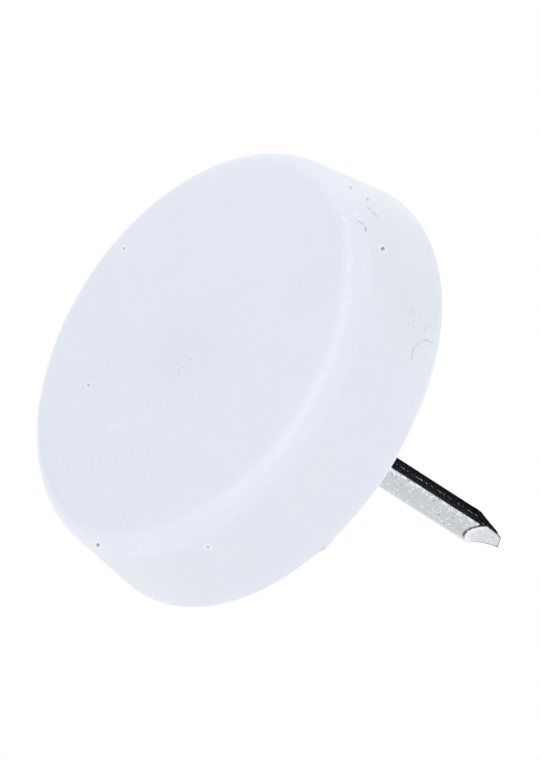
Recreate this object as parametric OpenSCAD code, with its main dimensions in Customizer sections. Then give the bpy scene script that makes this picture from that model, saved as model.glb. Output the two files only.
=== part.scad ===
// Nail-on furniture glide: a moulded plastic pad with a steel nail set in its back.
// The sliding face lies on z = 0, the nail points up, and z is the axis of both pieces.

/* [Pad] */
// Diameter of the pad across its back rim
pad_d = 24; // [18:0.5:40]
// Height of the pad, from the sliding face to the back
pad_h = 6; // [5.5:0.1:10]
// Flare of the side wall towards the back, in degrees
wall_flare = 9; // [0:0.5:12]
// Rounding between the sliding face and the side wall
edge_r = 1.7; // [0.4:0.1:2.4]
// Rounding of the back rim
rim_r = 0.2; // [0.1:0.05:0.6]

/* [Coring of the back] */
// Width of the seat ring that is left round the back
seat_w = 2.6; // [1.5:0.1:3.5]
// Diameter of the boss that is left round the nail
boss_d = 8; // [5.5:0.1:10]
// Depth of the groove between the boss and the seat ring
core_depth = 2.4; // [1:0.1:3]
// Draft of the groove's two walls, in degrees
core_draft = 3; // [0.5:0.5:8]
// Rounding along the bottom of the groove
core_r = 0.6; // [0.2:0.1:0.9]
// Diameter of the recess in the boss that takes the burr of the wood
relief_d = 3.4; // [3.1:0.1:4.6]
// Depth of that recess
relief_depth = 0.6; // [0.3:0.1:1]

/* [Nail] */
// Diameter of the nail's wire
nail_d = 1.8; // [1.4:0.1:2]
// Length of the nail that stands out of the back
nail_reach = 19; // [8:0.5:40]
// Diameter of the flat head
head_d = 4.8; // [3.6:0.1:5.2]
// Thickness of the head at its rim
head_t = 0.7; // [0.5:0.1:1]
// Height of the cone under the head
head_cone = 0.4; // [0.2:0.1:0.6]
// Bevel round the top of the head
head_bevel = 0.15; // [0.05:0.05:0.3]
// Plastic between the sliding face and the head
head_cover = 1.8; // [1:0.1:2.2]
// Depth of the grip rings that key the nail into the plastic
grip_depth = 0.12; // [0.05:0.01:0.2]
// Distance from one grip ring to the next, at most
grip_pitch = 0.65; // [0.4:0.05:1]

/* [Point of the nail] */
// Length of the four-sided point
point_len = 3.2; // [2:0.1:5]
// Width of the blunt edge at the tip
tip_w = 0.65; // [0.2:0.05:0.9]
// Thickness of the blunt edge at the tip
tip_t = 0.12; // [0.05:0.01:0.3]
// Turn of the point's facets about the nail, in degrees
point_turn = 26; // [0:1:89]

/* [Fit] */
// Gap between the nail and the plastic that is moulded round it
mould_gap = 0.02; // [0.01:0.01:0.05]

/* [Hidden] */
$fn = 96;
// How far a cut runs past the surface that it opens
over = 1;
// How far a rounding's disc stands past the two sides that it touches, so that it crosses them cleanly
hair = 0.0005;

pad_r = pad_d / 2;
nail_r = nail_d / 2;
tip_z = pad_h + nail_reach;

// Side wall: a line that leans out by wall_flare and touches the rim's rounding
wall_slope = tan(wall_flare);
rim_c = [pad_r - rim_r, pad_h - rim_r];
wall_foot = rim_c.x + rim_r / cos(wall_flare) - rim_c.y * wall_slope;

// Rounding of the face's edge, which touches the face and the side wall
edge_c = [wall_foot + edge_r * (wall_slope - 1 / cos(wall_flare)), edge_r];

// Coring groove: its walls lean towards each other from the back down to its floor
core_floor = pad_h - core_depth;
core_slope = tan(core_draft);
core_in = boss_d / 2;
core_out = pad_r - seat_w;
core_in_c = [core_in + (core_depth - core_r) * core_slope + core_r / cos(core_draft), core_floor + core_r];
core_out_c = [core_out - (core_depth - core_r) * core_slope - core_r / cos(core_draft), core_floor + core_r];

// Nail inside the pad: head, cone and grip rings end at the floor of the burr recess
head_under = head_cover + head_t;
grip_start = head_under + head_cone;
grip_end = pad_h - relief_depth;
grip_rings = max(1, ceil((grip_end - grip_start) / grip_pitch));
grip_step = (grip_end - grip_start) / grip_rings;

// Point at a distance and an angle from another, in a profile
function from(c, distance, angle) = c + distance * [cos(angle), sin(angle)];

// Outline of the nail from the middle of its head to the end of its grip rings, grown by a gap
function held_outline(gap) = concat(
    [
        [0, head_cover - gap],
        [head_d / 2 - head_bevel, head_cover - gap],
        [head_d / 2 + gap, head_cover + head_bevel],
        [head_d / 2 + gap, head_under + gap],
        [nail_r + gap, grip_start + gap]
    ],
    [
        for (i = [1:grip_rings]) each [
            [nail_r - grip_depth + gap, grip_start + (i - 0.5) * grip_step],
            [nail_r + gap, grip_start + i * grip_step]
        ]
    ]
);

// What a rounded corner takes off a sharp one: a wedge from the rounding's centre, less its disc
module corner_waste(c, r, from_angle, to_angle) {
    middle = (from_angle + to_angle) / 2;
    difference() {
        polygon([c, from(c, 2 * r, from_angle), from(c, 3 * r, middle), from(c, 2 * r, to_angle)]);
        translate(c) circle(r + hair);
    }
}

// Half section of the pad before its back is cored
module pad_outline() {
    difference() {
        polygon([[0, 0], [wall_foot, 0], [wall_foot + pad_h * wall_slope, pad_h], [0, pad_h]]);
        corner_waste(edge_c, edge_r, -90, -wall_flare);
        corner_waste(rim_c, rim_r, -wall_flare, 90);
    }
}

// Half section of the coring groove, run past the back
module core_outline() {
    difference() {
        polygon([
            [core_in + core_depth * core_slope, core_floor],
            [core_out - core_depth * core_slope, core_floor],
            [core_out + over * core_slope, pad_h + over],
            [core_in - over * core_slope, pad_h + over]
        ]);
        corner_waste(core_in_c, core_r, 180 + core_draft, 270);
        corner_waste(core_out_c, core_r, -90, -core_draft);
    }
}

// Half section of the space that the nail takes up in the pad, with the burr recess round it
module nail_pocket() {
    polygon(concat(held_outline(mould_gap), [[nail_r + mould_gap, pad_h + over], [0, pad_h + over]]));
    translate([0, grip_end]) square([relief_d / 2, relief_depth + over]);
}

// Everything outside one facet of the point: a plane from the wire's side to half the tip's size
module facet_cut(half_tip) {
    lean = atan((nail_r - half_tip) / point_len);
    translate([half_tip, 0, tip_z])
        rotate([0, -lean, 0])
            translate([0, -nail_d, -2 * point_len])
                cube([2 * nail_d, 2 * nail_d, 2 * point_len + over]);
}

module pad() {
    color([0.89, 0.91, 0.95])
        rotate_extrude()
            difference() {
                pad_outline();
                core_outline();
                nail_pocket();
            }
}

module nail() {
    color([0.72, 0.73, 0.75])
        difference() {
            rotate_extrude() polygon(concat(held_outline(0), [[nail_r, tip_z], [0, tip_z]]));
            for (turn = [0, 180]) {
                rotate(point_turn + turn) facet_cut(tip_w / 2);
                rotate(point_turn + 90 + turn) facet_cut(tip_t / 2);
            }
        }
}

pad();
nail();
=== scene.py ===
"""Looks of a nail-on furniture glide: a moulded plastic pad with a steel nail, over a pale floor."""

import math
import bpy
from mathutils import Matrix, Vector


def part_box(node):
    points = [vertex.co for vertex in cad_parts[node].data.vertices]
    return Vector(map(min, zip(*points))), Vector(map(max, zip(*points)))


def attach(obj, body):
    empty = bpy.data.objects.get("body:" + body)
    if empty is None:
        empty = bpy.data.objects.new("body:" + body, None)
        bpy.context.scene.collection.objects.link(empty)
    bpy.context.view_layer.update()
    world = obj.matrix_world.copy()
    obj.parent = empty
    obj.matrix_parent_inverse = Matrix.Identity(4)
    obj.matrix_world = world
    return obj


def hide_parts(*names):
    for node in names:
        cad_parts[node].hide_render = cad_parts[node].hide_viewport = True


bl_info = {
    "name": "Furniture Glide",
    "version": (1, 0, 0),
    "blender": (4, 5, 0),
    "location": "3D View > Sidebar > Glide",
    "description": "Builds a nail-on furniture glide and the studio that it is seen in",
    "category": "Add Mesh",
}

import bmesh
import bpy
from bpy.props import FloatProperty, FloatVectorProperty, IntProperty, PointerProperty
from mathutils import Matrix, Vector

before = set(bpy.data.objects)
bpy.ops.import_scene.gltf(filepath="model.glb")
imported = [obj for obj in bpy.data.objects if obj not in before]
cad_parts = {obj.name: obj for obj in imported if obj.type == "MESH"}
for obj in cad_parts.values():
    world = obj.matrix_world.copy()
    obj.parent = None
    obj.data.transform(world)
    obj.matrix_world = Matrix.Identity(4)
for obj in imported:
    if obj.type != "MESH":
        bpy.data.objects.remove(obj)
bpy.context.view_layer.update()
PAD_LOW, PAD_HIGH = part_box("pad")
NAIL_LOW, NAIL_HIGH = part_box("nail")

MM = 0.001
# Points nearer to each other than this are one point
SAME_PLACE = 0.001 * MM
# An edge that turns by more than this is drawn sharp
SHARP_TURN = math.radians(32)

# Outline of the pad: steps of its roundings, and the longest step between them and on the groove's floor
EDGE_STEPS = 26
RIM_STEPS = 10
SOFT_STEPS = 6
GROOVE_STEPS = 12
RECESS_STEPS = 4
OUTLINE_STEP = 0.36 * MM
FLOOR_STEP = 0.1 * MM

# Outline of the nail: rows along its shank, its point and the rounding of its tip. The point's close rows
# start a little below the point. The rounding takes a quarter of the tip's thickness and of the wire.
SHANK_ROWS = 22
POINT_ROWS = 124
POINT_LEAD = 0.25 * MM
TIP_ROWS = 5
TIP_ROUND = 0.25
TIP_END_SHARES = (0.6, 0.4, 0.2, 0)

# Sliding face and groove's floor: how near a point lies that belongs to them, and the slope of a pin mark
FACE_BAND = 0.05 * MM
FLOOR_BAND = 0.02 * MM
PIN_SLOPE = 0.1 * MM
# Where the three ejector pins stood, as turns about the pad's axis
PIN_TURNS = tuple(math.radians(30 + 120 * i) for i in range(3))

# Gate stub, in gate sizes: its run along the rim to one side, how much steeper the other side is, its reach
# down the wall and its height. Points further out than so many pad heights lie on the outside.
GATE_RUN = 2.4
GATE_STEEPER = 3.0
GATE_DROP = 1.2
GATE_HEIGHT = 0.24
OUTSIDE_HEIGHTS = 1.8

# A point beside a facet counts as this share of its radius in front of it, so that the facet's reach
# stays finite there
EDGE_ON = 0.002
# The point's facets end within this many point lengths from the tip
POINT_END = 1.2

# Marks on the pad, in millimetres: marks of use, and strokes of painted glints. Each is a short stroke, with
# a start and an end.
PITS = (
    ((-2.37, 8.94, 0), (-2.37, 8.83, 0)),
    ((4.52, 5.0, 0), (4.52, 4.89, 0)),
    ((7.84, -8.26, 1.93), (7.81, -8.28, 1.88)),
)
DEEP_PITS = (
    ((10.93, -1.96, 0.85), (10.84, -2.14, 0.75)),
    ((-9.25, -6.73, 2.24), (-9.14, -6.84, 2.12)),
)
SCUFFS = (
    ((-10.95, -2.83, 1.43), (-11.05, -2.53, 1.67)),
    ((-10.91, -3.46, 2.25), (-11.03, -3.16, 2.49)),
    ((-10.62, -4.19, 2.1), (-10.59, -4.29, 2.14)),
    ((-10.54, -4.47, 2.28), (-10.47, -4.67, 2.4)),
    ((-9.71, -5.52, 0.96), (-9.71, -5.67, 1.16)),
    ((-9.63, -5.86, 1.27), (-9.47, -6.08, 1.21)),
    ((4.79, -11.1, 5.85), (4.87, -11.05, 5.83)),
)
SMEARS = (
    ((-11.5, -0.15, 2.65), (-11.31, -1.64, 2.2)),
    ((-10.59, -4.25, 2.07), (-10.34, -4.91, 2.31)),
)
# Painted glints: bright flecks along the highlight of the rounded edge
GLINT_STROKES = (
    ((-11.09, -2.35, 1.59), (-11.21, -2.04, 1.96)),
    ((-9.9, -5.11, 0.92), (-9.95, -5.1, 1.0)),
    ((-9.82, -5.34, 1.0), (-9.85, -5.39, 1.12)),
    ((-9.42, -5.13, 0.4), (-9.42, -5.22, 0.44)),
    ((-7.8, -7.96, 0.93), (-7.79, -7.99, 0.96)),
    ((-8.43, -7.26, 0.89), (-8.42, -7.28, 0.91)),
    ((-7.43, -7.67, 0.36), (-7.42, -7.72, 0.38)),
)
# The scratch and the painted highlight on a dent's edge run through several points
SCRATCH = (
    (-5.36, -10.5, 4.48),
    (-5.56, -10.39, 4.46),
    (-5.74, -10.3, 4.44),
    (-6.07, -10.13, 4.59),
    (-6.33, -10.01, 4.81),
    (-6.59, -9.91, 5.16),
    (-6.56, -9.97, 5.36),
    (-6.63, -9.95, 5.52),
)
DENT_EDGE_HIGHLIGHT = ((5.91, 1.32, 0), (5.68, 1.42, 0), (5.45, 1.27, 0), (5.33, 0.92, 0), (5.33, 0.61, 0))

# Middles of larger patches on the pad, in millimetres: painted shade where the head shows through the face, a
# painted dark reflection beside the edge's highlight, painted shade on one side of the flank, glints painted
# in a band along the rounded edge, and where it is worn to specks
PAINTED_HEAD_SHADE = (0.35, -0.6, 0)
PAINTED_DARK_SPOT = (-5.4, -6.1, 0)
PAINTED_FLANK_SHADE = (-9.4, -7.2, 4.2)
GLINT_MIDDLE = (-5.5, -8.5, 0.5)
GLINT_HEIGHT = 0.46
WORN = ((-7.3, -9.3, 4.75), (0.5, -1.15, 0))

# Lines along the nail's wire, in millimetres: one where a painted bright fringe gathers, and a draw line
BRIGHT_FRINGE_LINE = (-0.2, -0.88, 0)
DRAW_LINE = (-0.6, -0.67, 0)

# Colours of the marks on the plastic and on the steel, and of their painted shade and painted highlights
WHITE = (1, 1, 1, 1)
GREYER = (1.0, 0.995, 0.965)
DARK_MARK_AND_SHADE = (0.12, 0.125, 0.13, 1)
PAINTED_HIGHLIGHT = (0.95, 0.96, 0.98, 1)
PIN_RING = (0.45, 0.47, 0.5, 1)
FRESH_CUT_AND_HIGHLIGHT = (0.95, 0.965, 1, 1)
PALE_STEEL = (0.92, 0.93, 0.96, 1)
STEEL_SPECK = (0.1, 0.1, 0.11, 1)
PAINTED_EDGE_SHADE = (0.06, 0.06, 0.07, 1)

# Soft gaps between the lamps, in reflections: a direction, and how near to it a gap is full and ends.
# They lie low, between two soft ends that are given as rises of the direction.
GAPS = (((0.94, -0.34, 0), 0.97, 0.86), ((0.5, 0.866, 0), 0.985, 0.9))
GAP_TOP = (-0.1, -0.03)
GAP_BOTTOM = (-0.56, -0.46)
GAP_DEPTH = 0.45

# Floor: how far under the pad it lies, its steps round, and where its shading starts to end and ends
FLOOR_UNDER = 0.01 * MM
FLOOR_SEGMENTS = 96
FLOOR_NEAR = 0.05
FLOOR_FAR = 0.25

# Bent tube lamps, as directions from the object. Each point of a tube is thicker than the last.
TUBE_DISTANCE = 0.4
TUBE_RADIUS = 0.008
TUBE_GROWTH = 0.12
LONG_TUBE = (
    (-0.9, 0.35, -0.25),
    (-0.8, 0.15, -0.58),
    (-0.65, -0.15, -0.745),
    (-0.454, -0.38, -0.81),
    (-0.138, -0.57, -0.81),
    (0.19, -0.617, -0.764),
    (0.431, -0.617, -0.658),
)
SIDE_TUBE = ((-0.98, 0.2, 0.14), (-0.983, -0.15, -0.02), (-0.909, -0.346, -0.232))

# Black card: a part of a cylinder round the nail, from one turn to another in degrees. It stands so high
# that the point mirrors it only to a camera below.
CARD_COLOUR = (0.01, 0.01, 0.012, 1)
CARD_RADIUS = 0.06
CARD_HEIGHTS = (0.057, 0.134)
CARD_START = 37.5
CARD_END = 186
CARD_STEPS = 40

# Area lamps: the stage's name for the power, the lamp's place and its size
LAMPS = (
    ("top", (-0.15, -0.1, 0.45), 0.3),
    ("side", (-0.43, 0.23, 0.02), 0.35),
    ("front", (0.33, -0.24, -0.34), 0.35),
)

# Camera: its right and its back, its place in millimetres, its sensor in millimetres and its range
CAMERA_RIGHT = (-0.54024, -0.51135, 0.66833)
CAMERA_BACK = (0, -0.79420, -0.60765)
CAMERA_PLACE = (-0.7229, -182.6084, -133.8362)
CAMERA_SENSOR = 36
CAMERA_RANGE = (0.01, 20)

# Kinds of rays that a thing can be hidden from, and the socket for each kind of value
RAYS = ("camera", "diffuse", "glossy", "transmission", "volume_scatter", "shadow")
SOCKETS = {int: "NodeSocketInt", float: "NodeSocketFloat", bpy.types.Material: "NodeSocketMaterial"}


def rounded_down(size):
    """A size of the CAD model in millimetres, a hair smaller, so that the looks stay inside its box."""
    steps = 1000
    return math.floor(size / MM * steps - 1) / steps


def length(name, description, default):
    """A size in metres, whose default is given in millimetres."""
    return FloatProperty(
        name=name, description=description, default=default * MM, min=0, unit="LENGTH", precision=5
    )


def angle(name, description, degrees):
    return FloatProperty(
        name=name, description=description, default=math.radians(degrees), subtype="ANGLE"
    )


def factor(name, description, default):
    return FloatProperty(name=name, description=description, default=default, min=0)


def power(name, description, default):
    return FloatProperty(name=name, description=description, default=default, min=0, unit="POWER")


def count(name, description, default, least):
    return IntProperty(name=name, description=description, default=default, min=least)


def tint(name, description, default):
    return FloatVectorProperty(
        name=name, description=description, default=default, subtype="COLOR"
    )


class GlidePad(bpy.types.PropertyGroup):
    """Sizes and colour of the plastic pad"""

    diameter: length(
        "Diameter", "Across the back rim", rounded_down(2 * min(*PAD_HIGH.xy, *-PAD_LOW.xy))
    )
    height: length(
        "Height", "From the sliding face to the back", rounded_down(PAD_HIGH.z - PAD_LOW.z)
    )
    flare: angle("Flare", "Lean of the side wall", 9)
    edge_radius: length("Edge radius", "Rounding between the sliding face and the side", 1.7)
    rim_radius: length("Rim radius", "Rounding of the back rim", 0.2)
    seat_width: length("Seat width", "Width of the ring that rests on the leg", 2.6)
    boss_diameter: length("Boss diameter", "Boss that is left round the nail", 8)
    groove_depth: length("Groove depth", "Depth of the coring groove in the back", 2.4)
    groove_draft: angle("Groove draft", "Lean of the groove's walls", 3)
    groove_radius: length("Groove radius", "Rounding along the bottom of the groove", 0.6)
    recess_diameter: length(
        "Recess diameter", "Recess round the nail that takes the burr of the wood", 3.4
    )
    recess_depth: length("Recess depth", "Depth of that recess", 0.6)
    soft_edge: length("Soft edge", "Rounding of the moulded edges of the back", 0.12)
    pin_diameter: length(
        "Pin diameter", "Marks that the ejector pins left on the floor of the groove", 2.3
    )
    pin_depth: length("Pin depth", "Depth of those marks", 0.04)
    sink_depth: length("Sink depth", "Sink of the sliding face over the nail's head", 0.03)
    sink_radius: length("Sink radius", "Reach of that sink from the middle of the face", 3.6)
    gate_turn: angle("Gate turn", "Where the gate was cut off the rim", -68.3)
    gate_size: length("Gate size", "Size of the stub that the gate left", 0.55)
    gap: length("Gap", "Gap between the nail and the plastic round it", 0.02)
    segments: count("Segments", "Steps round the pad", 320, 32)
    colour: tint("Colour", "Colour of the plastic", (0.766, 0.803, 0.897))


class GlideNail(bpy.types.PropertyGroup):
    """Sizes and colour of the steel nail"""

    diameter: length("Diameter", "Diameter of the wire", 1.8)
    tip: length("Tip height", "Height of the tip above the sliding face", rounded_down(NAIL_HIGH.z))
    head_diameter: length("Head diameter", "Diameter of the flat head", 4.8)
    head_thickness: length("Head thickness", "Thickness of the head at its rim", 0.7)
    head_cone: length("Head cone", "Height of the cone under the head", 0.4)
    head_bevel: length("Head bevel", "Bevel round the top of the head", 0.15)
    head_start: length(
        "Head start", "Height of the head above the sliding face", round(NAIL_LOW.z / MM, 2)
    )
    grip_depth: length("Grip depth", "Depth of the grip rings", 0.12)
    grip_rings: count("Grip rings", "Number of grip rings", 4, 1)
    point_length: length("Point length", "Length of the four-sided point", 3.2)
    tip_width: length("Tip width", "Width of the blunt edge at the tip", 0.575)
    tip_shift: length("Tip shift", "How far the blunt edge sits off the axis", 0.0375)
    tip_thickness: length("Tip thickness", "Thickness of the blunt edge at the tip", 0.12)
    point_turn: angle("Point turn", "Turn of the point's facets", 26)
    broad_hollow: factor("Broad hollow", "Hollow of the two broad facets, 1 is flat", 1.5)
    long_hollow: factor("Long hollow", "Hollow of the longer narrow facet, 1 is flat", 1.4)
    short_hollow: factor("Short hollow", "Hollow of the shorter narrow facet, 1 is flat", 1.0)
    tip_slant: factor("Tip slant", "Slope of the blunt edge", 0.62)
    lip: length("Lip", "Height of the burr along the facets", 0.012)
    softness: length("Softness", "Rounding of the edges of the point", 0.03)
    segments: count("Segments", "Steps round the wire", 192, 24)
    colour: tint("Colour", "Colour of the steel", (0.59, 0.615, 0.645))


class GlideStage(bpy.types.PropertyGroup):
    """Lamps, floor and lens of the studio"""

    ambient: factor("Ambient", "Soft light from all round", 0.94)
    long_tube: factor("Long tube", "Light of the tube under the sliding face", 3.6)
    side_tube: factor("Side tube", "Light of the tube beside the pad", 2.2)
    top: power("Top light", "Power of the lamp above", 0.5)
    side: power("Side light", "Power of the lamp beside", 0.09)
    front: power("Front light", "Power of the lamp in front", 0.2)
    floor_radius: length("Floor radius", "Size of the floor", 3000)
    floor_colour: tint("Floor colour", "Colour of the floor", (0.93, 0.93, 0.93))
    lens: FloatProperty(
        name="Lens",
        description="Focal length of the camera",
        default=213.06,
        min=1,
        subtype="DISTANCE_CAMERA",
    )


class Nodes:
    """Adds nodes to a tree and joins them, so that a tree can be written down like a sum."""

    def __init__(self, tree):
        self.tree = tree
        tree.nodes.clear()

    def add(self, kind, inputs=None, **settings):
        """A new node with its inputs linked or set, placed in columns of six."""
        node = self.tree.nodes.new(kind)
        place = len(self.tree.nodes)
        node.location = (220 * (place // 6), -190 * (place % 6))
        for key, value in settings.items():
            setattr(node, key, value)
        for key, value in (inputs or {}).items():
            self.feed(node.inputs[key], value)
        return node

    def feed(self, socket, value):
        if isinstance(value, bpy.types.NodeSocket):
            self.tree.links.new(value, socket)
        else:
            socket.default_value = value

    def math(self, operation, a, b=0.0, c=0.0, clamp=False):
        inputs = {0: a, 1: b, 2: c}
        return self.add("ShaderNodeMath", inputs, operation=operation, use_clamp=clamp).outputs[0]

    def plus(self, a, b):
        return self.math("ADD", a, b)

    def minus(self, a, b, clamp=False):
        return self.math("SUBTRACT", a, b, clamp=clamp)

    def times(self, a, b, clamp=False):
        return self.math("MULTIPLY", a, b, clamp=clamp)

    def weighted(self, start, *terms):
        """Start, plus each value times its weight."""
        total = start
        for value, weight in terms:
            total = self.math("MULTIPLY_ADD", value, weight, total)
        return total

    def strongest(self, *terms):
        """The largest of some values, each times its weight."""
        most = self.times(*terms[0])
        for value, weight in terms[1:]:
            most = self.math("MAXIMUM", most, self.times(value, weight))
        return most

    def nearest(self, distances):
        least = distances[0]
        for distance in distances[1:]:
            least = self.math("MINIMUM", least, distance)
        return least

    def vector(self, operation, a, b=(0, 0, 0)):
        """A vector from one or two vectors."""
        return self.add("ShaderNodeVectorMath", {0: a, 1: b}, operation=operation).outputs["Vector"]

    def measure(self, operation, a, b=(0, 0, 0)):
        """A number from one or two vectors."""
        return self.add("ShaderNodeVectorMath", {0: a, 1: b}, operation=operation).outputs["Value"]

    def scaled(self, vector, scale):
        inputs = {0: vector, "Scale": scale}
        return self.add("ShaderNodeVectorMath", inputs, operation="SCALE").outputs["Vector"]

    def parts(self, vector):
        return self.add("ShaderNodeSeparateXYZ", {0: vector}).outputs

    def joined(self, **parts):
        return self.add("ShaderNodeCombineXYZ", parts).outputs[0]

    def turned(self, vector, turn):
        """A vector turned about Z."""
        inputs = {"Vector": vector, "Angle": turn}
        return self.add("ShaderNodeVectorRotate", inputs, rotation_type="Z_AXIS").outputs[0]

    def fade(self, value, near, far):
        """1 at near, 0 at far, and smooth between them."""
        return self.add(
            "ShaderNodeMapRange",
            {"Value": value, "From Min": near, "From Max": far, "To Min": 1.0, "To Max": 0.0},
            interpolation_type="SMOOTHSTEP",
        ).outputs["Result"]

    def fade_mm(self, value, near, far):
        """The same fade, between two distances in millimetres."""
        return self.fade(value, near * MM, far * MM)

    def noise(self, vector, scale, detail=2.0, roughness=0.5):
        """Noise about zero."""
        inputs = {"Vector": vector, "Scale": scale, "Detail": detail, "Roughness": roughness}
        return self.minus(self.add("ShaderNodeTexNoise", inputs).outputs["Fac"], 0.5)

    def cells(self, vector, scale):
        """Distance to the nearest of some scattered points, and that point's random colour."""
        inputs = {"Vector": vector, "Scale": scale}
        return self.add("ShaderNodeTexVoronoi", inputs, feature="F1").outputs

    def attribute(self, name):
        return self.add("ShaderNodeAttribute", attribute_name=name).outputs["Fac"]

    def mix(self, share, a, b):
        """A colour between a and b."""
        node = self.add("ShaderNodeMix", {"Factor": share}, data_type="RGBA")
        self.feed(node.inputs[6], a)
        self.feed(node.inputs[7], b)
        return node.outputs[2]


def new_material(name):
    material = bpy.data.materials.new(name)
    material.use_nodes = True
    return material, Nodes(material.node_tree)


def metres(point):
    return tuple(MM * x for x in point)


def strokes_through(points):
    return tuple(zip(points, points[1:]))


def stroke_group():
    """Distance from a point to a straight stroke, as a group that the marks share."""
    tree = bpy.data.node_groups.new("Distance to a stroke", "ShaderNodeTree")
    for name in ("Point", "Start", "End"):
        tree.interface.new_socket(name, in_out="INPUT", socket_type="NodeSocketVector")
    tree.interface.new_socket("Distance", in_out="OUTPUT", socket_type="NodeSocketFloat")
    n = Nodes(tree)
    given = n.add("NodeGroupInput").outputs
    along = n.vector("SUBTRACT", given["End"], given["Start"])
    away = n.vector("SUBTRACT", given["Point"], given["Start"])
    reached = n.measure("DOT_PRODUCT", away, along)
    share = n.math("DIVIDE", reached, n.measure("DOT_PRODUCT", along, along), clamp=True)
    rest = n.vector("SUBTRACT", away, n.scaled(along, share))
    n.add("NodeGroupOutput", {"Distance": n.measure("LENGTH", rest)})
    return tree


def stroke_distance(n, group, point, strokes):
    """Distance to the nearest of some strokes in millimetres."""
    made = []
    for start, end in strokes:
        node = n.add("ShaderNodeGroup", node_tree=group)
        for key, value in (("Point", point), ("Start", metres(start)), ("End", metres(end))):
            n.feed(node.inputs[key], value)
        made.append(node.outputs["Distance"])
    return n.nearest(made)


def spot_distance(n, point, *spots):
    """Distance to the nearest of some spots in millimetres."""
    return n.nearest([n.measure("DISTANCE", point, metres(spot)) for spot in spots])


def line_distance(n, point, place):
    """Distance to a line along the nail, through a place in millimetres."""
    away = n.vector("SUBTRACT", point, metres(place))
    return n.measure("LENGTH", n.vector("MULTIPLY", away, (1, 1, 0)))


def pin_circle(pad):
    """Radius of the circle that the ejector pins stand on, in the middle of the groove's floor."""
    return (pad.diameter / 2 - pad.seat_width + pad.boss_diameter / 2) / 2


def plastic_marks(n, point, height, mottle, grain):
    """How hollow each point of the plastic is, how dark its marks of use and the painted shade in its pits
    make it, and how pale its painted highlights make it.
    """
    group = stroke_group()

    def on(strokes, near, far):
        return n.fade_mm(stroke_distance(n, group, point, strokes), near, far)

    # Pits: their dark middles are painted shade in the hollows, their pale rims a painted highlight
    pit = stroke_distance(n, group, point, PITS)
    deep_pit = stroke_distance(n, group, point, DEEP_PITS)
    hollow = n.strongest((n.fade_mm(pit, 0.05, 0.1), 0.34), (n.fade_mm(deep_pit, 0.01, 0.13), 0.8))
    rim = n.math("MINIMUM", pit, n.minus(deep_pit, 0.04 * MM))
    rim = n.minus(n.fade_mm(rim, 0.13, 0.22), n.fade_mm(rim, 0.09, 0.13), clamp=True)

    specks = n.fade(n.cells(point, scale=4300.0)["Distance"], 0.09, 0.15)
    specks = n.times(specks, n.fade_mm(spot_distance(n, point, *WORN), 0.6, 1.8))
    # Painted glints: pale dots in a band at one height along the rounded edge, round its highlight
    glint_band = n.fade_mm(spot_distance(n, point, GLINT_MIDDLE), 6.0, 9.5)
    off_height = n.math("ABSOLUTE", n.minus(height, GLINT_HEIGHT * MM))
    glint_band = n.times(glint_band, n.fade_mm(off_height, 0.1, 0.2))
    glints = n.times(n.fade(grain, 0.17, 0.11), glint_band)

    scuff = n.times(on(SCUFFS, 0.015, 0.09), n.weighted(1.0, (mottle, 0.9)))
    smear = on(SMEARS, 0.05, 0.3)
    scratch = n.times(on(strokes_through(SCRATCH), 0.015, 0.08), n.fade(grain, 0.03, -0.05))
    glint_stroke = on(GLINT_STROKES, 0.02, 0.09)
    # Painted highlight: a pale crescent on the edge of a dent
    dent_highlight = on(strokes_through(DENT_EDGE_HIGHLIGHT), 0.02, 0.11)
    dark = n.strongest((scuff, 0.42), (scratch, 0.26), (smear, 0.05), (specks, 0.8))
    # Painted shade: the pits' hollows are painted dark
    dark = n.math("MAXIMUM", hollow, dark)
    # All of the pale part is painted highlight: the pits' rims, the glints and the lit edge of a dent
    pale = n.strongest((rim, 0.6), (glint_stroke, 0.7), (glints, 0.7), (dent_highlight, 0.26))
    return hollow, dark, pale


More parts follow.
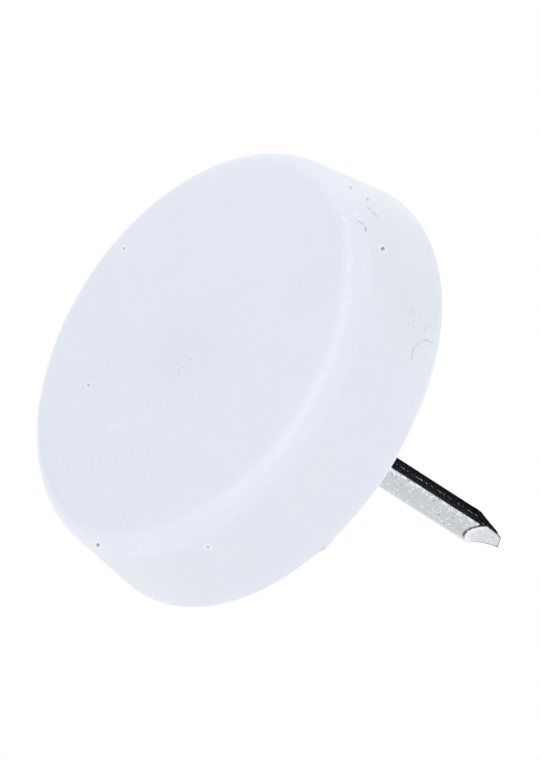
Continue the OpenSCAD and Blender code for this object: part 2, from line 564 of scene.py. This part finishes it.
def plastic_material(pad):
    """Satin moulded polyethylene: cloudy and slightly translucent, with the small marks of use, painted shade
    and painted highlights.
    """
    material, n = new_material("pad_plastic")
    point = n.add("ShaderNodeTexCoord").outputs["Object"]
    part = n.parts(point)
    height = part["Z"]
    cloud = n.noise(point, scale=330.0)
    mottle = n.noise(point, scale=2600.0, detail=3.0, roughness=0.6)
    grain = n.noise(point, scale=9000.0)

    # Painted shade: the face is darker round its middle, where the steel head shows faintly through. Painted
    # highlight: the rounded edge is lighter in a band near the face.
    head = n.fade_mm(spot_distance(n, point, PAINTED_HEAD_SHADE), 0.0, 5.2)
    # Painted dark reflection: a darker spot on the face beside the rounded edge's highlight
    dark_spot = n.fade_mm(spot_distance(n, point, PAINTED_DARK_SPOT), 0.0, 2.6)
    # Painted shade: one side of the flank is darker and greyer
    flank_shade = n.fade_mm(spot_distance(n, point, PAINTED_FLANK_SHADE), 2.0, 6.5)
    # Painted highlight: a lighter band on the rounded edge near the sliding face
    edge_highlight = n.times(n.fade_mm(height, 0.32, 0.1), n.fade_mm(height, 0.95, 1.6))
    low = n.fade_mm(height, 2.6, 1.2)
    tone = n.weighted(
        1.0,
        (cloud, 0.05),
        (mottle, 0.05),
        (head, -0.03),
        (dark_spot, -0.02),
        # Painted light: the plastic grows lighter towards -X, the side the light comes from
        (part["X"], -1.6),
        (edge_highlight, 0.035),
        (flank_shade, -0.035),
    )
    colour = n.scaled(tuple(pad.colour), tone)
    greyer = n.weighted(0.0, (cloud, 0.6), (head, 0.35), (flank_shade, 0.4), (low, 0.5))
    colour = n.mix(greyer, colour, n.vector("MULTIPLY", colour, GREYER))

    hollow, dark, pale = plastic_marks(n, point, height, mottle, grain)
    # Marks of use and painted shade darken the plastic, painted highlights lighten it
    colour = n.mix(dark, colour, DARK_MARK_AND_SHADE)
    colour = n.mix(pale, colour, PAINTED_HIGHLIGHT)

    # The ejector pins left round witness marks on the floor of the groove
    floor = (pad.height - pad.groove_depth) / MM
    circle = pin_circle(pad) / MM
    pins = [(circle * math.cos(a), circle * math.sin(a), floor) for a in PIN_TURNS]
    past_pin = n.minus(spot_distance(n, point, *pins), pad.pin_diameter / 2)
    ring = n.minus(n.fade_mm(past_pin, 0.03, 0.09), n.fade_mm(past_pin, -0.09, -0.03), clamp=True)
    colour = n.mix(n.times(ring, 0.2), colour, PIN_RING)

    # Of the marks, only the pits reach the bump: with all of them in it, the shader is too large for the
    # renderer's stack and turns black
    relief = n.weighted(0.0, (mottle, 0.5), (grain, 0.25), (cloud, 1.5), (hollow, -6.0))
    bump = n.add("ShaderNodeBump", {"Height": relief, "Strength": 0.35, "Distance": 0.008 * MM})
    shader = n.add(
        "ShaderNodeBsdfPrincipled",
        {
            "Base Color": colour,
            "Roughness": n.weighted(0.31, (mottle, 0.06), (dark, 0.3)),
            "Normal": bump.outputs["Normal"],
            "IOR": 1.5,
            "Subsurface Weight": 0.2,
            "Subsurface Radius": (1.0, 1.0, 1.1),
            "Subsurface Scale": 0.7 * MM,
        },
    )
    n.add("ShaderNodeOutputMaterial", {"Surface": shader.outputs["BSDF"]})
    return material


def steel_material(nail):
    """Bright drawn wire: lines along the nail, pale flecks with a painted bright fringe, a few dark specks,
    and painted shade along the burr of the point.
    """
    material, n = new_material("nail_steel")
    point = n.add("ShaderNodeTexCoord").outputs["Object"]

    def drawn_out(across, along, **settings):
        """Noise that is stretched along the nail."""
        inputs = {"Vector": point, "Scale": (across, across, along)}
        stretched = n.add("ShaderNodeMapping", inputs).outputs["Vector"]
        return n.noise(stretched, scale=1.0, detail=3.0, **settings)

    lines = drawn_out(7000.0, 260.0)
    patches = drawn_out(6500.0, 4200.0, roughness=0.6)
    # Painted reflection: the pale flecks gather along a line beside the dark band, as a bright fringe
    painted_fringe = n.fade_mm(line_distance(n, point, BRIGHT_FRINGE_LINE), 0.02, 0.16)
    pale = n.fade(n.weighted(patches, (painted_fringe, 0.1)), 0.13, 0.09)
    cells = n.cells(point, scale=4200.0)
    draw = n.add("ShaderNodeSeparateColor", {"Color": cells["Color"]}).outputs[0]
    speck = n.times(n.fade(cells["Distance"], 0.16, 0.25), n.math("GREATER_THAN", draw, 0.8))

    # One long draw line, broken here and there, and painted shade and dark reflection along the burr that the
    # facets' attribute gives
    broken = n.fade(n.noise(point, scale=6000.0), 0.1, 0.02)
    groove = n.times(n.fade_mm(line_distance(n, point, DRAW_LINE), 0.015, 0.05), broken)
    # Painted shade and dark reflection: a dark line along the facets' edges and at the tip
    burr = n.times(n.attribute("facet_edge"), n.weighted(1.0, (patches, 3.0)), clamp=True)

    colour = n.scaled(tuple(nail.colour), n.weighted(1.0, (lines, 0.2)))
    for share, strength, mark in (
        # The facets are paler as fresh steel, and most in a band along their edges: a painted highlight
        (n.attribute("facet"), 0.85, FRESH_CUT_AND_HIGHLIGHT),
        (pale, 0.8, PALE_STEEL),
        (speck, 0.75, STEEL_SPECK),
        (burr, 0.95, PAINTED_EDGE_SHADE),
    ):
        colour = n.mix(n.times(share, strength), colour, mark)
    relief = n.weighted(lines, (patches, 0.25), (speck, -0.5))
    bump = n.add("ShaderNodeBump", {"Height": relief, "Strength": 0.25, "Distance": 0.003 * MM})
    shader = n.add(
        "ShaderNodeBsdfPrincipled",
        {
            "Base Color": colour,
            "Metallic": 1.0,
            "Roughness": n.weighted(0.1, (lines, 0.1), (groove, 0.25)),
            "Normal": bump.outputs["Normal"],
        },
    )
    n.add("ShaderNodeOutputMaterial", {"Surface": shader.outputs["BSDF"]})
    return material


def rounded(corners):
    """An outline with rounded corners, each given as radius from the axis, height, rounding and steps."""
    points = []
    for i, (r, z, rounding, steps) in enumerate(corners):
        here = Vector((r, z))
        if not rounding:
            points.append(here)
            continue
        back = (Vector(corners[i - 1][:2]) - here).normalized()
        on = (Vector(corners[i + 1][:2]) - here).normalized()
        half = back.angle(on) / 2
        centre = here + (back + on).normalized() * rounding / math.sin(half)
        start = here + back * rounding / math.tan(half) - centre
        end = here + on * rounding / math.tan(half) - centre
        turn = math.atan2(start.cross(end), start.dot(end))
        for k in range(steps + 1):
            a = turn * k / steps
            x = start.x * math.cos(a) - start.y * math.sin(a)
            y = start.x * math.sin(a) + start.y * math.cos(a)
            points.append(centre + Vector((x, y)))
    return points


def with_steps(points, step, fine_height, fine_step):
    """The outline with points put in, so that no stretch is longer than step, or fine_step at one height."""
    made = [points[0]]
    for a, b in zip(points, points[1:]):
        fine = max(abs(a.y - fine_height), abs(b.y - fine_height)) < SAME_PLACE
        parts = max(1, math.ceil((b - a).length / (fine_step if fine else step)))
        made += [a.lerp(b, k / parts) for k in range(1, parts + 1)]
    return made


def held_outline(nail, grip_end, gap):
    """Outline of the nail's part that the plastic holds, from the middle of its head up, grown by a gap."""
    r = nail.diameter / 2
    rim = nail.head_diameter / 2
    under = nail.head_start + nail.head_thickness
    start = under + nail.head_cone
    step = (grip_end - start) / nail.grip_rings
    points = [
        (0, nail.head_start - gap),
        (rim - nail.head_bevel, nail.head_start - gap),
        (rim + gap, nail.head_start + nail.head_bevel),
        (rim + gap, under + gap),
        (r + gap, start + gap),
    ]
    for i in range(nail.grip_rings):
        points.append((r - nail.grip_depth + gap, start + (i + 0.5) * step))
        points.append((r + gap, start + (i + 1) * step))
    return [Vector(p) for p in points]


def pad_outline(pad, nail):
    """Half section of the pad, from the middle of the sliding face round to the roof of the head's pocket."""
    slope = math.tan(pad.flare)
    rim_r = pad.diameter / 2 - pad.rim_radius
    rim_z = pad.height - pad.rim_radius
    foot = rim_r + pad.rim_radius / math.cos(pad.flare) - rim_z * slope
    floor = pad.height - pad.groove_depth
    lean = pad.groove_depth * math.tan(pad.groove_draft)
    seat = pad.diameter / 2 - pad.seat_width
    boss = pad.boss_diameter / 2
    recess = pad.recess_diameter / 2
    grip_end = pad.height - pad.recess_depth
    pocket = held_outline(nail, grip_end, pad.gap)[::-1]
    outside = rounded(
        [
            (0, 0, 0, 0),
            (foot, 0, pad.edge_radius, EDGE_STEPS),
            (foot + pad.height * slope, pad.height, pad.rim_radius, RIM_STEPS),
            (seat, pad.height, pad.soft_edge, SOFT_STEPS),
            (seat - lean, floor, pad.groove_radius, GROOVE_STEPS),
            (boss + lean, floor, pad.groove_radius, GROOVE_STEPS),
            (boss, pad.height, pad.soft_edge, SOFT_STEPS),
            (recess, pad.height, pad.soft_edge, SOFT_STEPS),
            (recess, grip_end, pad.soft_edge / 2, RECESS_STEPS),
            (*pocket[0], 0, 0),
        ]
    )
    return with_steps(outside, OUTLINE_STEP, floor, FLOOR_STEP) + pocket[1:]


def nail_outline(nail, pad):
    """Half section of the nail before its point is cut, with close rows along the point."""
    r = nail.diameter / 2
    round_height = nail.tip_thickness * TIP_ROUND
    outline = held_outline(nail, pad.height - pad.recess_depth, 0)
    point_start = nail.tip - nail.point_length - POINT_LEAD
    start = outline[-1].y
    for end, rows in ((point_start, SHANK_ROWS), (nail.tip - round_height, POINT_ROWS)):
        outline += [Vector((r, start + (end - start) * k / rows)) for k in range(1, rows + 1)]
        start = end
    for k in range(1, TIP_ROWS + 1):
        a = math.pi / 2 * k / TIP_ROWS
        share = 1 - TIP_ROUND * (1 - math.cos(a))
        outline.append(Vector((r * share, nail.tip - round_height * (1 - math.sin(a)))))
    return outline + [Vector((r * share, nail.tip)) for share in TIP_END_SHARES]


def geometry_tree(name, values):
    """An empty Geometry Nodes tree with a geometry in and out, and a named input for each value."""
    tree = bpy.data.node_groups.new(name, "GeometryNodeTree")
    tree.interface.new_socket("Geometry", in_out="INPUT", socket_type="NodeSocketGeometry")
    for key, value in values.items():
        tree.interface.new_socket(key, in_out="INPUT", socket_type=SOCKETS[type(value)])
    tree.interface.new_socket("Geometry", in_out="OUTPUT", socket_type="NodeSocketGeometry")
    n = Nodes(tree)
    return tree, n, n.add("NodeGroupInput").outputs


def set_position(n, geometry, **how):
    return n.add("GeometryNodeSetPosition", {"Geometry": geometry, **how}).outputs[0]


def revolve(n, given):
    """Turns the profile once round Z: a grid whose columns are copies of it, closed at seam and poles."""
    place = n.add("GeometryNodeInputPosition").outputs[0]
    profile = given["Geometry"]
    rows = n.add("GeometryNodeAttributeDomainSize", {0: profile}, component="MESH")
    rows = rows.outputs["Point Count"]
    columns = n.plus(given["Segments"], 1.0)
    grid = n.add(
        "GeometryNodeMeshGrid",
        {"Size X": 1.0, "Size Y": 1.0, "Vertices X": columns, "Vertices Y": rows},
    )
    across = n.parts(place)
    row = n.times(n.plus(across["Y"], 0.5), n.minus(rows, 1.0))
    sample = n.add("GeometryNodeSampleIndex", data_type="FLOAT_VECTOR", domain="POINT")
    n.feed(sample.inputs["Geometry"], profile)
    n.feed(sample.inputs["Value"], place)
    n.feed(sample.inputs["Index"], n.math("ROUND", row))
    turned = n.turned(sample.outputs[0], n.times(across["X"], 2 * math.pi))
    moved = set_position(n, grid.outputs["Mesh"], Position=turned)
    weld = {"Geometry": moved, "Distance": SAME_PLACE}
    return n.add("GeometryNodeMergeByDistance", weld).outputs[0]


def finish_tree(n, given, geometry):
    """Ends a tree in a smooth, real geometry with its material."""
    smooth = n.add("GeometryNodeSetShadeSmooth", {"Geometry": geometry, "Shade Smooth": True})
    real = n.add("GeometryNodeRealizeInstances", {"Geometry": smooth.outputs[0]})
    coat = {"Geometry": real.outputs[0], "Material": given["Material"]}
    n.add("NodeGroupOutput", {"Geometry": n.add("GeometryNodeSetMaterial", coat).outputs[0]})


def pad_tree(values):
    """The pad: its profile turned round Z, a sink in the face, pin marks and a gate stub on the rim."""
    tree, n, given = geometry_tree("Moulded pad", values)
    body = revolve(n, given)
    place = n.add("GeometryNodeInputPosition").outputs[0]
    part = n.parts(place)
    flat = n.vector("MULTIPLY", place, (1, 1, 0))
    radius = n.measure("LENGTH", flat)
    on_face = n.math("LESS_THAN", part["Z"], FACE_BAND)
    sink = n.times(given["Sink depth"], on_face)
    sink = n.times(n.fade(radius, 0.0, given["Sink radius"]), sink)
    pins = [n.scaled((math.cos(a), math.sin(a), 0), given["Pin circle"]) for a in PIN_TURNS]
    pin = n.nearest([n.measure("DISTANCE", flat, spot) for spot in pins])
    past_pin = n.minus(pin, given["Pin radius"])
    on_floor = n.math("COMPARE", part["Z"], given["Floor height"], FLOOR_BAND)
    dip = n.times(given["Pin depth"], on_floor)
    dip = n.times(n.fade(past_pin, -PIN_SLOPE, PIN_SLOPE), dip)
    body = set_position(n, body, Offset=n.joined(Z=n.minus(sink, dip)))

    size = given["Gate size"]
    beside = n.parts(n.turned(place, n.times(given["Gate turn"], -1.0)))
    on_side = n.math("GREATER_THAN", beside["X"], 0.0)
    lopsided = n.math("MAXIMUM", beside["Y"], n.times(beside["Y"], -GATE_STEEPER))
    along_rim = n.fade(lopsided, 0.0, n.times(size, GATE_RUN))
    below_rim = n.minus(given["Height"], part["Z"])
    down_wall = n.fade(below_rim, 0.0, n.times(size, GATE_DROP))
    outside = n.math("GREATER_THAN", radius, n.times(given["Height"], OUTSIDE_HEIGHTS))
    stub = n.times(n.times(along_rim, down_wall), n.times(on_side, outside))
    push = n.times(stub, n.times(size, GATE_HEIGHT))
    body = set_position(n, body, Offset=n.scaled(n.vector("NORMALIZE", flat), push))
    finish_tree(n, given, body)
    return tree


def nail_tree(values):
    """The nail: its profile turned round Z, then pinched to a four-sided point with a slanted edge."""
    tree, n, given = geometry_tree("Wire nail", values)
    body = revolve(n, given)
    place = n.add("GeometryNodeInputPosition").outputs[0]
    turned = n.turned(place, n.times(given["Point turn"], -1.0))
    part = n.parts(turned)
    wire = given["Radius"]
    radius = n.measure("LENGTH", n.vector("MULTIPLY", turned, (1, 1, 0)))
    below = n.math("MAXIMUM", n.minus(given["Tip"], part["Z"]), 0.0)
    share_below = n.math("DIVIDE", below, given["Point length"])
    least = n.times(radius, EDGE_ON)
    half_width = n.times(given["Tip width"], 0.5)
    half_thickness = n.times(given["Tip thickness"], 0.5)
    far_tip = n.minus(half_width, given["Tip shift"])
    near_tip = n.plus(half_width, given["Tip shift"])

    def reach(along, half_tip, hollow):
        """How far out a facet lets the wire go, in the direction of each point of it."""
        rise = n.times(n.minus(wire, half_tip), n.math("POWER", share_below, hollow))
        half = n.plus(half_tip, rise)
        return n.math("DIVIDE", n.times(half, radius), n.math("MAXIMUM", along, least))

    broad = reach(n.math("ABSOLUTE", part["Y"]), half_thickness, given["Broad hollow"])
    long = reach(part["X"], far_tip, given["Long hollow"])
    short = reach(n.times(part["X"], -1.0), near_tip, given["Short hollow"])
    narrow = n.math("MINIMUM", long, short)
    facets = n.math("SMOOTH_MIN", broad, narrow, given["Softness"])
    kept = n.math("SMOOTH_MIN", wire, facets, given["Softness"])

    # A burr stands along the edges of the facets; the material paints shade along those edges and finds the
    # facets, both by their attributes
    margin = n.math("ABSOLUTE", n.minus(facets, wire))
    border = n.fade_mm(margin, 0.025, 0.075)
    inside = n.math("LESS_THAN", facets, wire)
    inside = n.times(inside, n.math("LESS_THAN", share_below, POINT_END))
    ridge = n.fade_mm(n.math("ABSOLUTE", n.minus(broad, narrow)), 0.015, 0.08)
    ridge = n.math("MAXIMUM", n.times(ridge, inside), n.fade_mm(below, 0.02, 0.1))
    edge = n.math("MAXIMUM", n.times(border, n.fade_mm(part["X"], 0.2, 0.6)), ridge)
    # Painted highlight: the facets' paint is strongest in a band along their edges
    cut = n.times(inside, n.weighted(0.3, (n.fade_mm(margin, 0.06, 0.3), 0.7)))
    for name, value in (("facet_edge", edge), ("facet", cut)):
        body = n.add(
            "GeometryNodeStoreNamedAttribute",
            {"Geometry": body, "Name": name, "Value": value},
            data_type="FLOAT",
            domain="POINT",
        ).outputs[0]

    kept = n.math("MULTIPLY_ADD", border, given["Lip"], kept)
    share = n.math("DIVIDE", kept, wire)
    off_far_side = n.minus(far_tip, n.times(part["X"], share))
    drop = n.times(n.math("MAXIMUM", off_far_side, 0.0), given["Tip slant"])
    drop = n.times(drop, n.fade_mm(below, 0.0, 0.9))
    pinched = n.vector("MULTIPLY", place, n.joined(X=share, Y=share, Z=1.0))
    body = set_position(n, body, Position=n.vector("SUBTRACT", pinched, n.joined(Z=drop)))
    finish_tree(n, given, body)
    return tree


def made_by_tree(name, outline, tree, values):
    """An object whose plain mesh is what the tree makes of the outline."""
    mesh = bpy.data.meshes.new(name)
    edges = [(i, i + 1) for i in range(len(outline) - 1)]
    mesh.from_pydata([(p.x, 0, p.y) for p in outline], edges, [])
    piece = bpy.data.objects.new(name, mesh)
    bpy.context.scene.collection.objects.link(piece)
    modifier = piece.modifiers.new("Shape", "NODES")
    modifier.node_group = tree
    for item in tree.interface.items_tree:
        if item.in_out == "INPUT" and item.name in values:
            modifier[item.identifier] = values[item.name]
    graph = bpy.context.evaluated_depsgraph_get()
    made = bpy.data.meshes.new_from_object(piece.evaluated_get(graph), depsgraph=graph)
    piece.modifiers.remove(modifier)
    piece.data = made
    bpy.data.meshes.remove(mesh)
    made.name = name
    work = bmesh.new()
    work.from_mesh(made)
    bmesh.ops.recalc_face_normals(work, faces=work.faces)
    open_edges = [e for e in work.edges if not e.is_manifold]
    for e in work.edges:
        e.smooth = e.calc_face_angle(0) < SHARP_TURN
    work.to_mesh(made)
    work.free()
    if open_edges:
        raise RuntimeError(f"{name} isn't closed: {len(open_edges)} open edges")
    return piece


class GLIDE_OT_add_pad(bpy.types.Operator):
    """Adds the moulded plastic pad"""

    bl_idname = "glide.add_pad"
    bl_label = "Add pad"

    def execute(self, context):
        pad = context.scene.glide_pad
        values = {
            "Segments": pad.segments,
            "Height": pad.height,
            "Sink depth": pad.sink_depth,
            "Sink radius": pad.sink_radius,
            "Gate turn": pad.gate_turn,
            "Gate size": pad.gate_size,
            "Floor height": pad.height - pad.groove_depth,
            "Pin circle": pin_circle(pad),
            "Pin radius": pad.pin_diameter / 2,
            "Pin depth": pad.pin_depth,
            "Material": plastic_material(pad),
        }
        outline = pad_outline(pad, context.scene.glide_nail)
        piece = made_by_tree("glide_pad", outline, pad_tree(values), values)
        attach(piece, "root")
        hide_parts("pad")
        return {"FINISHED"}


class GLIDE_OT_add_nail(bpy.types.Operator):
    """Adds the steel nail with its head, grip rings and four-sided point"""

    bl_idname = "glide.add_nail"
    bl_label = "Add nail"

    def execute(self, context):
        nail = context.scene.glide_nail
        values = {
            "Segments": nail.segments,
            "Radius": nail.diameter / 2,
            "Tip": nail.tip,
            "Point length": nail.point_length,
            "Tip width": nail.tip_width,
            "Tip shift": nail.tip_shift,
            "Tip thickness": nail.tip_thickness,
            "Point turn": nail.point_turn,
            "Broad hollow": nail.broad_hollow,
            "Long hollow": nail.long_hollow,
            "Short hollow": nail.short_hollow,
            "Tip slant": nail.tip_slant,
            "Lip": nail.lip,
            "Softness": nail.softness,
            "Material": steel_material(nail),
        }
        outline = nail_outline(nail, context.scene.glide_pad)
        piece = made_by_tree("glide_nail", outline, nail_tree(values), values)
        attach(piece, "root")
        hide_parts("nail")
        return {"FINISHED"}


def add_stage_object(name, data):
    thing = bpy.data.objects.new(name, data)
    bpy.context.scene.collection.objects.link(thing)
    return thing


def show_only_to(thing, kept):
    """Hides a thing of the stage from all kinds of rays but one."""
    for rays in RAYS:
        setattr(thing, "visible_" + rays, rays == kept)


def glow_material(name, colour, strength):
    material, n = new_material(name)
    glow = n.add("ShaderNodeEmission", {"Color": colour, "Strength": strength})
    n.add("ShaderNodeOutputMaterial", {"Surface": glow.outputs[0]})
    return material


def set_world(stage):
    """White to the camera and in reflections, where two soft gaps between the lamps show low down."""
    world = bpy.data.worlds.new("studio")
    bpy.context.scene.world = world
    world.use_nodes = True
    n = Nodes(world.node_tree)
    ray = n.add("ShaderNodeLightPath").outputs
    way = n.add("ShaderNodeTexCoord").outputs["Generated"]
    flat = n.vector("NORMALIZE", n.vector("MULTIPLY", way, (1, 1, 0)))
    rise = n.parts(way)["Z"]
    low = n.times(n.fade(rise, *GAP_TOP), n.minus(1.0, n.fade(rise, *GAP_BOTTOM)))
    gaps = [n.fade(n.measure("DOT_PRODUCT", flat, to), near, far) for to, near, far in GAPS]
    dim = n.times(n.times(n.plus(*gaps), low), ray["Is Glossy Ray"])
    seen = n.plus(ray["Is Glossy Ray"], ray["Is Transmission Ray"])
    seen = n.math("ADD", ray["Is Camera Ray"], seen, clamp=True)
    soft = n.add("ShaderNodeBackground", {"Color": WHITE, "Strength": stage.ambient})
    shade = n.weighted(1.0, (dim, -GAP_DEPTH))
    white = n.add("ShaderNodeBackground", {"Color": WHITE, "Strength": shade})
    both = n.add("ShaderNodeMixShader", {0: seen, 1: soft.outputs[0], 2: white.outputs[0]})
    n.add("ShaderNodeOutputWorld", {"Surface": both.outputs[0]})


def add_floor(stage):
    """A pale floor that is seen from above only, so that the sliding face can be looked at from below."""
    material, n = new_material("stage_floor")
    point = n.add("ShaderNodeTexCoord").outputs["Object"]
    camera = n.add("ShaderNodeLightPath").outputs["Is Camera Ray"]
    under = n.add("ShaderNodeNewGeometry").outputs["Backfacing"]
    seen = n.times(camera, n.minus(1.0, under))
    pale = n.add("ShaderNodeBsdfDiffuse", {"Color": (*stage.floor_colour, 1)})
    white = n.add("ShaderNodeEmission", {"Color": WHITE, "Strength": 1.0})
    near = n.fade(n.measure("LENGTH", point), FLOOR_NEAR, FLOOR_FAR)
    top = n.add("ShaderNodeMixShader", {0: near, 1: white.outputs[0], 2: pale.outputs[0]})
    clear = n.add("ShaderNodeBsdfTransparent")
    both = n.add("ShaderNodeMixShader", {0: seen, 1: clear.outputs[0], 2: top.outputs[0]})
    n.add("ShaderNodeOutputMaterial", {"Surface": both.outputs[0]})
    mesh = bpy.data.meshes.new("stage_floor")
    work = bmesh.new()
    bmesh.ops.create_circle(
        work, cap_ends=True, segments=FLOOR_SEGMENTS, radius=stage.floor_radius
    )
    work.to_mesh(mesh)
    work.free()
    mesh.transform(Matrix.Translation((0, 0, -FLOOR_UNDER)))
    mesh.materials.append(material)
    show_only_to(add_stage_object("stage_floor", mesh), "camera")


def add_tube(name, directions, strength):
    """A slender bent tube lamp out of the picture, on some directions from the object, seen in gloss only."""
    curve = bpy.data.curves.new(name, "CURVE")
    curve.dimensions = "3D"
    curve.bevel_depth = TUBE_RADIUS
    curve.bevel_resolution = 1
    curve.use_fill_caps = True
    curve.resolution_u = 6
    spline = curve.splines.new("BEZIER")
    spline.bezier_points.add(len(directions) - 1)
    for step, (point, direction) in enumerate(zip(spline.bezier_points, directions)):
        point.co = Vector(direction).normalized() * TUBE_DISTANCE
        point.radius = 1 + TUBE_GROWTH * step
        point.handle_left_type = point.handle_right_type = "AUTO"
    curve.materials.append(glow_material(name, WHITE, strength))
    show_only_to(add_stage_object(name, curve), "glossy")


def add_dark_card():
    """A black card beside the nail, seen only in its mirror, which draws the dark band along the wire."""
    mesh = bpy.data.meshes.new("stage_card")
    points = []
    for k in range(CARD_STEPS + 1):
        a = math.radians(CARD_START + (CARD_END - CARD_START) * k / CARD_STEPS)
        x, y = -CARD_RADIUS * math.sin(a), -CARD_RADIUS * math.cos(a)
        points += [(x, y, z) for z in CARD_HEIGHTS]
    faces = [(2 * k, 2 * k + 2, 2 * k + 3, 2 * k + 1) for k in range(CARD_STEPS)]
    mesh.from_pydata(points, [], faces)
    mesh.materials.append(glow_material("stage_card", CARD_COLOUR, 1.0))
    show_only_to(add_stage_object("stage_card", mesh), "glossy")


def add_lamp(name, place, size, energy):
    """A round lamp that points at the object."""
    lamp = bpy.data.lights.new(name, "AREA")
    lamp.shape = "DISK"
    lamp.size = size
    lamp.energy = energy
    light = add_stage_object(name, lamp)
    light.location = place
    light.rotation_mode = "QUATERNION"
    light.rotation_quaternion = Vector(place).to_track_quat("Z", "Y")


def add_camera(stage):
    """Looks up at the sliding face from in front and below, with the nail to the picture's lower right."""
    camera = bpy.data.cameras.new("camera")
    camera.lens = stage.lens
    camera.sensor_width = CAMERA_SENSOR
    camera.clip_start, camera.clip_end = CAMERA_RANGE
    right = Vector(CAMERA_RIGHT).normalized()
    back = Vector(CAMERA_BACK).normalized()
    turn = Matrix((right, back.cross(right), back)).transposed().to_4x4()
    thing = add_stage_object("camera", camera)
    thing.matrix_world = Matrix.Translation(Vector(CAMERA_PLACE) * MM) @ turn
    bpy.context.scene.camera = thing


class GLIDE_OT_set_stage(bpy.types.Operator):
    """Sets the camera, the soft studio light and the pale floor"""

    bl_idname = "glide.set_stage"
    bl_label = "Set stage"

    def execute(self, context):
        stage = context.scene.glide_stage
        context.scene.view_settings.view_transform = "Standard"
        add_camera(stage)
        set_world(stage)
        add_floor(stage)
        add_tube("stage_long_tube", LONG_TUBE, stage.long_tube)
        add_tube("stage_side_tube", SIDE_TUBE, stage.side_tube)
        add_dark_card()
        for name, place, size in LAMPS:
            add_lamp(name + "_lamp", place, size, getattr(stage, name))
        return {"FINISHED"}


class GLIDE_PT_sidebar(bpy.types.Panel):
    bl_idname = "GLIDE_PT_sidebar"
    bl_label = "Furniture Glide"
    bl_space_type = "VIEW_3D"
    bl_region_type = "UI"
    bl_category = "Glide"

    def draw(self, context):
        groups = (
            (context.scene.glide_pad, "glide.add_pad"),
            (context.scene.glide_nail, "glide.add_nail"),
            (context.scene.glide_stage, "glide.set_stage"),
        )
        for group, operator in groups:
            box = self.layout.box()
            for key in group.__annotations__:
                box.prop(group, key)
            box.operator(operator)


CLASSES = (
    GlidePad,
    GlideNail,
    GlideStage,
    GLIDE_OT_add_pad,
    GLIDE_OT_add_nail,
    GLIDE_OT_set_stage,
    GLIDE_PT_sidebar,
)


def register():
    for cls in CLASSES:
        bpy.utils.register_class(cls)
    bpy.types.Scene.glide_pad = PointerProperty(type=GlidePad)
    bpy.types.Scene.glide_nail = PointerProperty(type=GlideNail)
    bpy.types.Scene.glide_stage = PointerProperty(type=GlideStage)


def unregister():
    del bpy.types.Scene.glide_stage
    del bpy.types.Scene.glide_nail
    del bpy.types.Scene.glide_pad
    for cls in reversed(CLASSES):
        bpy.utils.unregister_class(cls)


def main():
    register()
    bpy.ops.glide.add_pad()
    bpy.ops.glide.add_nail()
    bpy.ops.glide.set_stage()


if __name__ == "__main__":
    main()
